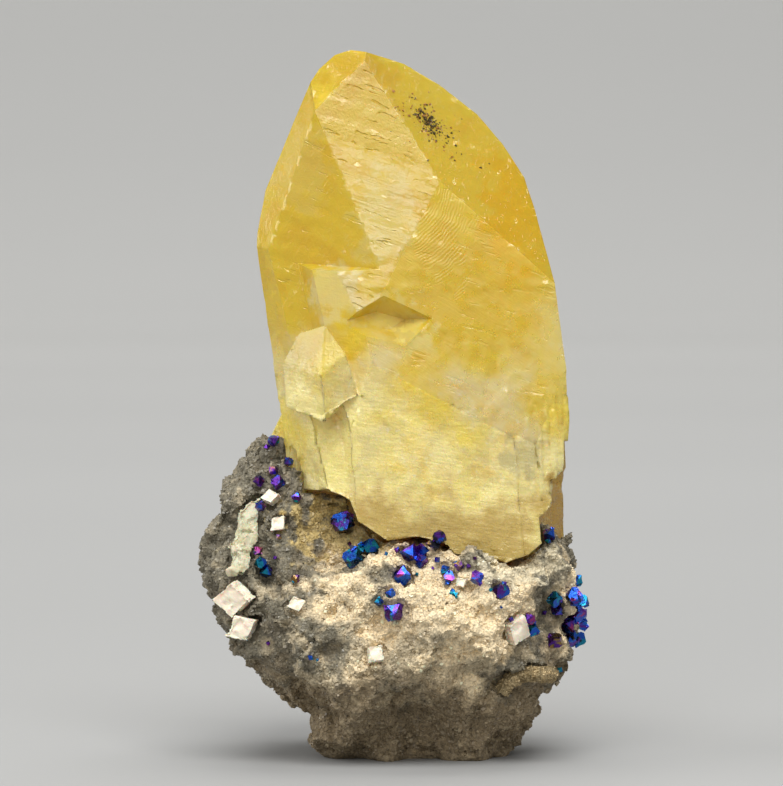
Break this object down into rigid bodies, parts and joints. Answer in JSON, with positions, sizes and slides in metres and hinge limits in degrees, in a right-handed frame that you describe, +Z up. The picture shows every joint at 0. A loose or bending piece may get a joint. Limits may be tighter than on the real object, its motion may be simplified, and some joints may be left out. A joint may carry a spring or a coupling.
{
  "type": "mineral specimen",
  "caption": "Tall golden calcite crystal standing on a rough lump of grey dolostone dotted with blue chalcopyrite and pale dolomite crystals, on a flat base.",
  "frame": {"origin": "on the flat underside that the specimen rests on, below the middle of its bounding box", "axes": "+Z up along the tall crystal; the pictured front faces -Y; +X to the right of the pictured front"},
  "size_m": [0.0451, 0.0364, 0.081],
  "materials": {
    "golden_calcite": "gloss",
    "grey_dolostone": "matte",
    "pale_calcite": "satin",
    "pink_dolomite": "satin",
    "tarnished_chalcopyrite": "gloss",
    "bronze_marcasite": "satin"
  },
  "bodies": {
    "root": {"calcite_crystal": "golden_calcite", "chalcopyrite_back_1": "tarnished_chalcopyrite", "chalcopyrite_back_2": "tarnished_chalcopyrite", "chalcopyrite_back_3": "tarnished_chalcopyrite", "chalcopyrite_back_4": "tarnished_chalcopyrite", "chalcopyrite_back_5": "tarnished_chalcopyrite", "chalcopyrite_crystal_foot_1": "tarnished_chalcopyrite", "chalcopyrite_crystal_foot_2": "tarnished_chalcopyrite", "chalcopyrite_crystal_foot_3": "tarnished_chalcopyrite", "chalcopyrite_hollow_1": "tarnished_chalcopyrite", "chalcopyrite_hollow_2": "tarnished_chalcopyrite", "chalcopyrite_hollow_3": "tarnished_chalcopyrite", "chalcopyrite_left_flank_1": "tarnished_chalcopyrite", "chalcopyrite_left_flank_2": "tarnished_chalcopyrite", "chalcopyrite_left_flank_3": "tarnished_chalcopyrite", "chalcopyrite_right_edge_1": "tarnished_chalcopyrite", "chalcopyrite_right_edge_10": "tarnished_chalcopyrite", "chalcopyrite_right_edge_11": "tarnished_chalcopyrite", "chalcopyrite_right_edge_2": "tarnished_chalcopyrite", "chalcopyrite_right_edge_3": "tarnished_chalcopyrite", "chalcopyrite_right_edge_4": "tarnished_chalcopyrite", "chalcopyrite_right_edge_5": "tarnished_chalcopyrite", "chalcopyrite_right_edge_6": "tarnished_chalcopyrite", "chalcopyrite_right_edge_7": "tarnished_chalcopyrite", "chalcopyrite_right_edge_8": "tarnished_chalcopyrite", "chalcopyrite_right_edge_9": "tarnished_chalcopyrite", "chalcopyrite_shoulder_1": "tarnished_chalcopyrite", "chalcopyrite_shoulder_2": "tarnished_chalcopyrite", "chalcopyrite_shoulder_3": "tarnished_chalcopyrite", "chalcopyrite_shoulder_4": "tarnished_chalcopyrite", "chalcopyrite_shoulder_5": "tarnished_chalcopyrite", "chalcopyrite_shoulder_6": "tarnished_chalcopyrite", "chalcopyrite_shoulder_7": "tarnished_chalcopyrite", "chalcopyrite_terrace_1": "tarnished_chalcopyrite", "chalcopyrite_terrace_10": "tarnished_chalcopyrite", "chalcopyrite_terrace_11": "tarnished_chalcopyrite", "chalcopyrite_terrace_12": "tarnished_chalcopyrite", "chalcopyrite_terrace_2": "tarnished_chalcopyrite", "chalcopyrite_terrace_3": "tarnished_chalcopyrite", "chalcopyrite_terrace_4": "tarnished_chalcopyrite", "chalcopyrite_terrace_5": "tarnished_chalcopyrite", "chalcopyrite_terrace_6": "tarnished_chalcopyrite", "chalcopyrite_terrace_7": "tarnished_chalcopyrite", "chalcopyrite_terrace_8": "tarnished_chalcopyrite", "chalcopyrite_terrace_9": "tarnished_chalcopyrite", "dolomite_rhomb_flank": "pink_dolomite", "dolomite_rhomb_front": "pink_dolomite", "dolomite_rhomb_large": "pink_dolomite", "dolomite_rhomb_ledge": "pink_dolomite", "dolomite_rhomb_lower": "pink_dolomite", "dolomite_rhomb_right": "pink_dolomite", "dolomite_rhomb_shoulder": "pink_dolomite", "dolomite_rhomb_terrace": "pink_dolomite", "dolostone_matrix": "grey_dolostone", "marcasite_crust": "bronze_marcasite", "pale_calcite_seam": "pale_calcite"}
  },
  "joints": []
}
